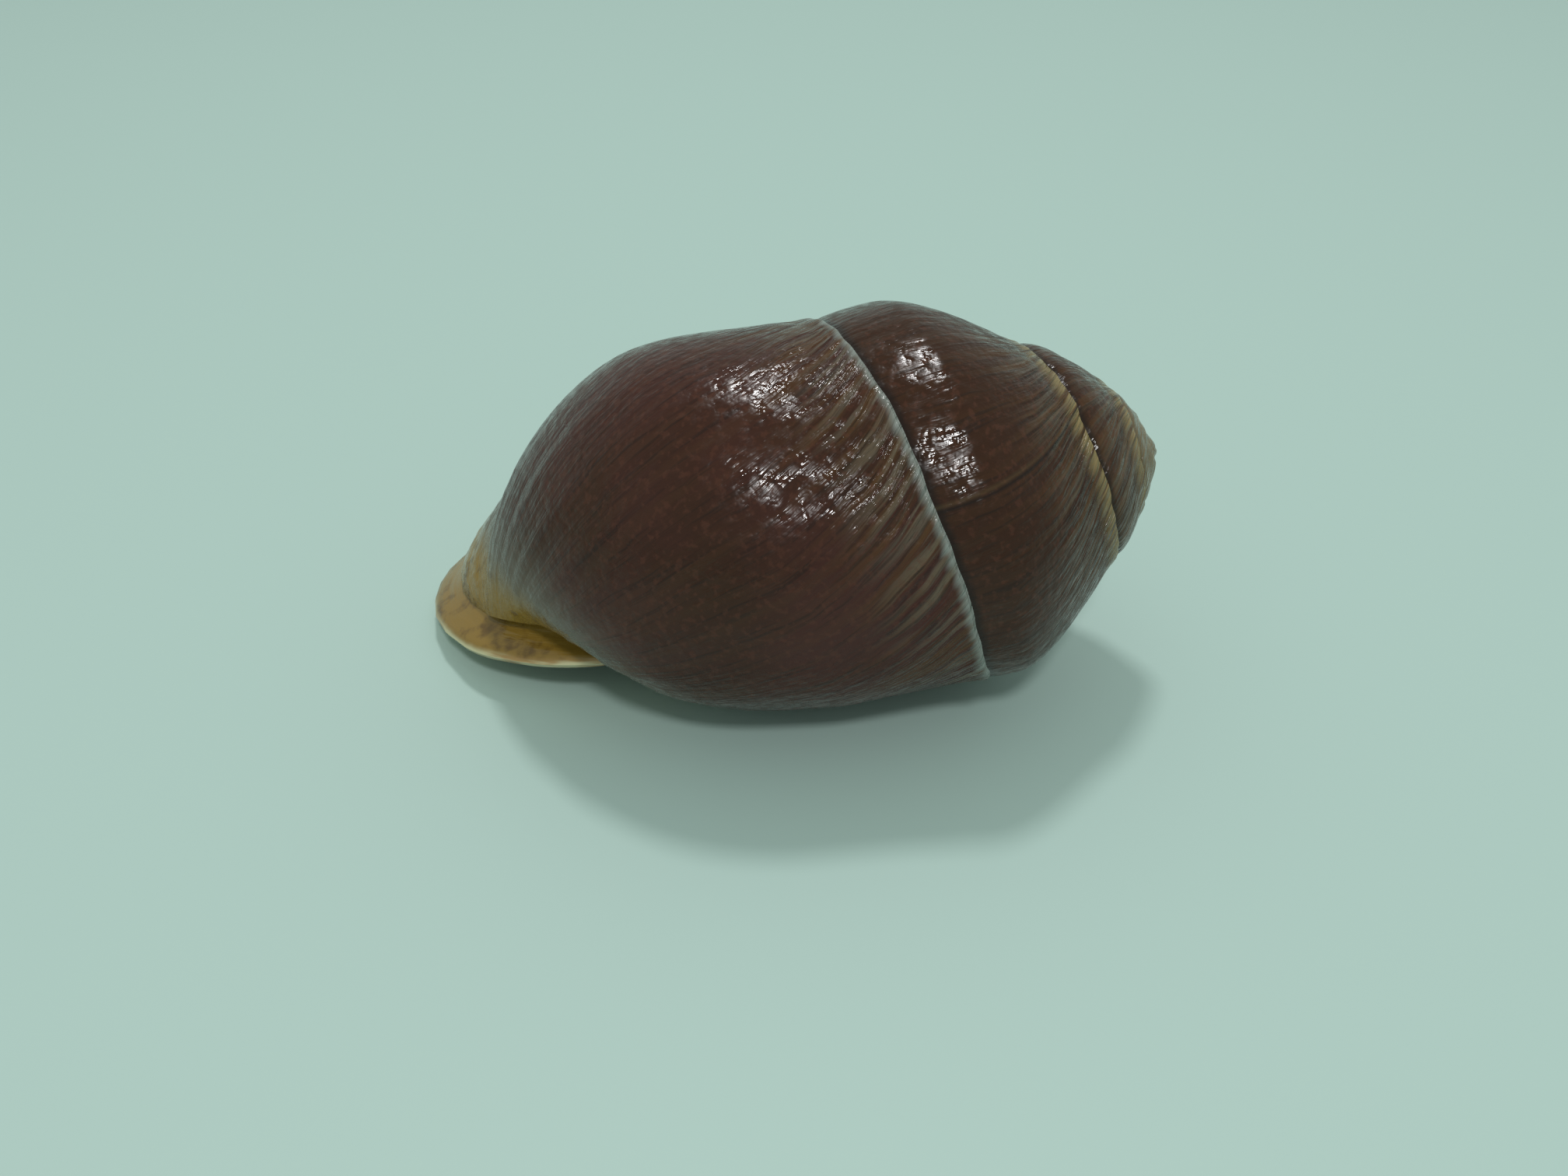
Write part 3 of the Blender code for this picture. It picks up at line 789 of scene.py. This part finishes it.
# Fine pale streaks lie between them, and dark hairlines and a reddish grain cover the whole skin.
pale_place = add(tree, "ShaderNodeMapRange", {0: below, 1: PALE_REACH, 2: EDGE_CLEAR, 4: 0.5},
                 interpolation_type="SMOOTHSTEP")
pale_step = add(tree, "ShaderNodeMapRange", {0: fine, 1: 0.46, 2: 0.64},
                interpolation_type="SMOOTHSTEP")
pale_share = add(tree, "ShaderNodeMath", {0: pale_step, 1: pale_place}, operation="MULTIPLY")
base = add(tree, "ShaderNodeMix", {0: pale_share, 6: base, 7: colour(PALE_STREAK)},
           out=2, data_type="RGBA")
hair_share = add(tree, "ShaderNodeMapRange", {0: hair, 1: 0.52, 2: 0.72, 4: 0.5},
                 interpolation_type="SMOOTHSTEP")
base = add(tree, "ShaderNodeMix", {0: hair_share, 6: base, 7: colour(DARK_LINE_AND_CREASE_SHADE)},
           out=2, data_type="RGBA")
grain = add(tree, "ShaderNodeTexNoise",
            {"Vector": spot, "Scale": 1 / (GRAIN_SIZE * MM), "Detail": 2.0})
grain_share = add(tree, "ShaderNodeMapRange", {0: grain, 1: 0.50, 2: 0.70, 4: 0.35},
                  interpolation_type="SMOOTHSTEP")
base = add(tree, "ShaderNodeMix", {0: grain_share, 6: base, 7: colour(MOTTLE)},
           out=2, data_type="RGBA")

# The bend behind the lip is pale grey, and the back of the lip is ochre with honey-brown flecks.
bend_share = add(tree, "ShaderNodeMapRange", {0: to_lip, 1: BEND_REACH[0], 2: BEND_REACH[1], 4: 0.7},
                 interpolation_type="SMOOTHSTEP")
base = add(tree, "ShaderNodeMix", {0: bend_share, 6: base, 7: colour(BEND_PALE)},
           out=2, data_type="RGBA")
lip_back = flecked_ochre(tree, spot)
lip_share = add(tree, "ShaderNodeMapRange", {0: to_lip, 1: LIP_BACK_REACH[0], 2: LIP_BACK_REACH[1]},
                interpolation_type="SMOOTHSTEP")
base = add(tree, "ShaderNodeMix", {0: lip_share, 6: base, 7: lip_back}, out=2, data_type="RGBA")

# The upper edge has a band, narrow and grey on the last whorl, wide and cream with brown before it.
brown_step = add(tree, "ShaderNodeMapRange", {0: middling, 1: 0.50, 2: 0.62},
                 interpolation_type="SMOOTHSTEP")
cream = add(tree, "ShaderNodeMix", {0: brown_step, 6: colour(BAND_CREAM), 7: colour(BAND_BROWN)},
            out=2, data_type="RGBA")
band = add(tree, "ShaderNodeMix", {0: last_whorl, 6: cream, 7: colour(EDGE_PALE)},
           out=2, data_type="RGBA")
band_end = add(tree, "ShaderNodeMapRange", {0: last_whorl, 3: OLD_BAND, 4: LAST_BAND})
band_place = add(tree, "ShaderNodeMath", {0: middling, 1: BAND_WAVER, 2: below},
                 operation="MULTIPLY_ADD")
band_share = add(tree, "ShaderNodeMapRange", {0: band_place, 1: band_end, 2: BAND_CLEAR},
                 interpolation_type="SMOOTHSTEP")
base = add(tree, "ShaderNodeMix", {0: band_share, 6: base, 7: band}, out=2, data_type="RGBA")

# Painted shade darkens the angle above the next whorl's edge, and the oldest whorls are worn to tan.
crease_shade_share = add(tree, "ShaderNodeMapRange",
                  {0: above_next, 1: CREASE_SHADE_REACH[0], 2: CREASE_SHADE_REACH[1], 4: 0.85},
                  interpolation_type="SMOOTHSTEP")
base = add(tree, "ShaderNodeMix", {0: crease_shade_share, 6: base, 7: colour(DARK_LINE_AND_CREASE_SHADE)},
           out=2, data_type="RGBA")
worn_from, worn_to = (behind_lip(turn) for turn in WORN_TURNS)
apex_share = add(tree, "ShaderNodeMapRange", {0: to_lip, 1: worn_from, 2: worn_to, 4: 0.85},
                 interpolation_type="SMOOTHSTEP")
base = add(tree, "ShaderNodeMix", {0: apex_share, 6: base, 7: colour(APEX_TAN)},
           out=2, data_type="RGBA")

# The growth rest left a dark line and a pale one after it.
line = add(tree, "ShaderNodeSeparateXYZ", {0: growth}, out="X")
rest_at = float(along_spiral(REST_TURN))
after_rest = add(tree, "ShaderNodeMath", {0: line, 1: rest_at}, operation="SUBTRACT")
for place_after, half_width, share, shade in REST_LINES:
    off_line = add(tree, "ShaderNodeMath", {0: after_rest, 1: place_after}, operation="SUBTRACT")
    off_line = add(tree, "ShaderNodeMath", {0: off_line}, operation="ABSOLUTE")
    line_share = add(tree, "ShaderNodeMapRange", {0: off_line, 1: half_width, 2: 0.0, 4: share})
    base = add(tree, "ShaderNodeMix", {0: line_share, 6: base, 7: colour(shade)},
               out=2, data_type="RGBA")

# Wrinkles about 0.5 mm apart pucker the 8 mm under the edge. Finer lines and pits break up the gloss.
pucker = streaks(tree, bent, *PUCKER_STREAKS)
pucker_height = add(tree, "ShaderNodeMapRange", {0: below, 1: PUCKER_REACH, 2: 0.8, 3: 0.05, 4: 0.36},
                    interpolation_type="SMOOTHSTEP")
relief = add(tree, "ShaderNodeMath", {0: pucker, 1: pucker_height}, operation="MULTIPLY")
relief = add(tree, "ShaderNodeMath", {0: hair, 1: HAIR_HEIGHT, 2: relief},
             operation="MULTIPLY_ADD")
pits = add(tree, "ShaderNodeTexNoise",
           {"Vector": spot, "Scale": 1 / (PIT_SIZE * MM), "Detail": 2.0})
relief = add(tree, "ShaderNodeMath", {0: pits, 1: PIT_HEIGHT, 2: relief},
             operation="MULTIPLY_ADD")
bump = add(tree, "ShaderNodeBump", {"Height": relief, "Distance": MM})
rough = add(tree, "ShaderNodeMapRange", {0: pits, 1: 0.40, 2: 0.62, 3: 0.07, 4: 0.32})
surface = tree.nodes["Principled BSDF"]
tree.links.new(base, surface.inputs["Base Color"])
tree.links.new(rough, surface.inputs["Roughness"])
tree.links.new(bump, surface.inputs["Normal"])
surface.inputs["IOR"].default_value = 1.45
surface.inputs["Specular IOR Level"].default_value = 0.32

# Land snail shell: lip
# The lip is a thick callus of bare lime, smooth as porcelain. It is cream, with orange-brown
# stains towards the pillar, ochre where it meets the skin, and a brown line at its inner edge.

LIP_CREAM = "#c9c29a"
LIP_STAIN = "#9a6a2a"
INNER_LINE = "#4d3016"
RIM_UNEVEN_SIZE = 3.0
STAIN_STREAKS = (6.0, 0.9, 5.0)
RIPPLE_STREAKS = (5.0, 0.7, 9.0)
RIPPLE_HEIGHT = 0.08

callus = bpy.data.materials.new("lip_callus_porcelain")
callus.use_nodes = True
tree = callus.node_tree
growth = add(tree, "ShaderNodeUVMap", uv_map="growth")
place = add(tree, "ShaderNodeUVMap", uv_map="place")
spot = add(tree, "ShaderNodeTexCoord", out="Object")
round_lip = add(tree, "ShaderNodeSeparateXYZ", {0: place}, out="X")
across_lip = add(tree, "ShaderNodeSeparateXYZ", {0: place}, out="Y")
lip_back = flecked_ochre(tree, spot)
uneven = add(tree, "ShaderNodeTexNoise",
             {"Vector": spot, "Scale": 1 / (RIM_UNEVEN_SIZE * MM), "Detail": 2.0})
edge_place = add(tree, "ShaderNodeMath", {0: uneven, 1: 0.16, 2: across_lip}, operation="MULTIPLY_ADD")
face_share = add(tree, "ShaderNodeMapRange", {0: edge_place, 1: 0.43, 2: 0.57},
                 interpolation_type="SMOOTHSTEP")
stains = streaks(tree, growth, *STAIN_STREAKS)
stain_step = add(tree, "ShaderNodeMapRange", {0: stains, 1: 0.46, 2: 0.66},
                 interpolation_type="SMOOTHSTEP")
stain_place = add(tree, "ShaderNodeMapRange", {0: round_lip, 1: 0.45, 2: 0.7, 3: 0.1, 4: 0.8},
                  interpolation_type="SMOOTHSTEP")
stain_share = add(tree, "ShaderNodeMath", {0: stain_step, 1: stain_place}, operation="MULTIPLY")
face_colour = add(tree, "ShaderNodeMix", {0: stain_share, 6: colour(LIP_CREAM), 7: colour(LIP_STAIN)},
                  out=2, data_type="RGBA")
base = add(tree, "ShaderNodeMix", {0: face_share, 6: lip_back, 7: face_colour},
           out=2, data_type="RGBA")
line_share = add(tree, "ShaderNodeMapRange", {0: across_lip, 1: 0.93, 2: 0.985},
                 interpolation_type="SMOOTHSTEP")
base = add(tree, "ShaderNodeMix", {0: line_share, 6: base, 7: colour(INNER_LINE)},
           out=2, data_type="RGBA")
ripples = streaks(tree, growth, *RIPPLE_STREAKS)
bump = add(tree, "ShaderNodeBump", {"Height": ripples, "Distance": RIPPLE_HEIGHT * MM})
surface = tree.nodes["Principled BSDF"]
tree.links.new(base, surface.inputs["Base Color"])
tree.links.new(bump, surface.inputs["Normal"])
surface.inputs["Roughness"].default_value = 0.24
surface.inputs["IOR"].default_value = 1.53

# Land snail shell: glaze
# Inside, the lime has a thin glaze. It is greenish grey, partly for the brown skin that shows through
# the wall and partly as painted shade, and a little darker in rings that run parallel to the lip, and
# darker still, as painted shade, in the depth of the tube.

GLAZE_PALE = "#89896e"
GLAZE_DARK = "#4d4d39"
# The deepest colour is painted shade for the dim depth of the tube.
GLAZE_DEEP_SHADE = "#2f3124"
RING_STREAKS = (1.5, 40.0, 2.0)
DEEP_SHADE_REACH = (4.0, 26.0)

glaze = bpy.data.materials.new("inner_glaze_greenish")
glaze.use_nodes = True
tree = glaze.node_tree
growth = add(tree, "ShaderNodeUVMap", uv_map="growth")
depth_in = add(tree, "ShaderNodeSeparateXYZ", {0: growth}, out="X")
rings = streaks(tree, growth, *RING_STREAKS)
ring_step = add(tree, "ShaderNodeMapRange", {0: rings, 1: 0.38, 2: 0.62},
                interpolation_type="SMOOTHSTEP")
base = add(tree, "ShaderNodeMix", {0: ring_step, 6: colour(GLAZE_PALE), 7: colour(GLAZE_DARK)},
           out=2, data_type="RGBA")
# Deeper in the tube the glaze turns to the deepest colour: painted shade of the dim inside.
deep_shade_share = add(tree, "ShaderNodeMapRange", {0: depth_in, 1: DEEP_SHADE_REACH[0], 2: DEEP_SHADE_REACH[1], 4: 0.9},
                 interpolation_type="SMOOTHSTEP")
base = add(tree, "ShaderNodeMix", {0: deep_shade_share, 6: base, 7: colour(GLAZE_DEEP_SHADE)},
           out=2, data_type="RGBA")
surface = tree.nodes["Principled BSDF"]
tree.links.new(base, surface.inputs["Base Color"])
surface.inputs["Roughness"].default_value = 0.3
surface.inputs["IOR"].default_value = 1.53

for material in (skin, callus, glaze):
    snail_shell.data.materials.append(material)
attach(snail_shell, "root")
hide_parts("shell")

# Ground
# A plain pale board, painted matt, that the shell lies on. It is 4 m wide, which is enough to fill
# the camera's picture.

GROUND_SIDE = 4.0
GROUND_PALE = "#b3cbc4"

bm = bmesh.new()
bmesh.ops.create_grid(bm, x_segments=1, y_segments=1, size=GROUND_SIDE / 2)
mesh = bpy.data.meshes.new("ground")
bm.to_mesh(mesh)
bm.free()
ground = bpy.data.objects.new("ground", mesh)
bpy.context.scene.collection.objects.link(ground)
paint = bpy.data.materials.new("matt_pale_paint")
paint.use_nodes = True
surface = paint.node_tree.nodes["Principled BSDF"]
surface.inputs["Base Color"].default_value = colour(GROUND_PALE)
surface.inputs["Roughness"].default_value = 0.6
ground.data.materials.append(paint)

# Light
# Even daylight from all round, and two small round softboxes half a metre away: one high up a
# little behind the shell, and one above the camera.

# Each softbox: its name, its place and its diameter in metres, and its power in watts.
SOFTBOXES = (
    ("behind", (0.0, 0.17, 0.48), 0.07, 0.75),
    ("front", (0.03, -0.32, 0.41), 0.065, 0.75),
)
LAMP_AIM = (0.0, 0.0, 0.013)
SKY_PALE = "#c8d6d0"
SKY_STRENGTH = 0.72

world = bpy.data.worlds.new("daylight")
world.use_nodes = True
sky = world.node_tree.nodes["Background"]
sky.inputs["Color"].default_value = colour(SKY_PALE)
sky.inputs["Strength"].default_value = SKY_STRENGTH
bpy.context.scene.world = world

for name, where, diameter, power in SOFTBOXES:
    lamp = bpy.data.lights.new("softbox_" + name, "AREA")
    lamp.shape = "DISK"
    lamp.size = diameter
    lamp.energy = power
    box = bpy.data.objects.new("softbox_" + name, lamp)
    box.location = where
    aim = Vector(LAMP_AIM) - Vector(where)
    box.rotation_euler = aim.to_track_quat("-Z", "Y").to_euler()
    bpy.context.scene.collection.objects.link(box)

bpy.context.scene.view_settings.view_transform = "Standard"

# Camera
# A close-up lens that looks down on the shell's front at 35 degrees, 125 mm from the point that it
# aims at. Its lengths are in millimetres.

CAMERA_AIM = (0.38, 7.53, -0.91)
CAMERA_DISTANCE = 124.7
CAMERA_HEIGHT_ANGLE = 34.98
CAMERA_LENS = 36.14
CAMERA_SENSOR = 36.0
CAMERA_CLIP = 10.0

lens = bpy.data.cameras.new("close_up")
lens.sensor_width = CAMERA_SENSOR
lens.lens = CAMERA_LENS
lens.clip_start = CAMERA_CLIP * MM
camera = bpy.data.objects.new("close_up", lens)
down = np.radians(CAMERA_HEIGHT_ANGLE)
back = Vector((0.0, -np.cos(down), np.sin(down))) * CAMERA_DISTANCE
camera.location = (Vector(CAMERA_AIM) + back) * MM
camera.rotation_euler = Euler((np.pi / 2 - down, 0.0, 0.0))
bpy.context.scene.collection.objects.link(camera)
bpy.context.scene.camera = camera
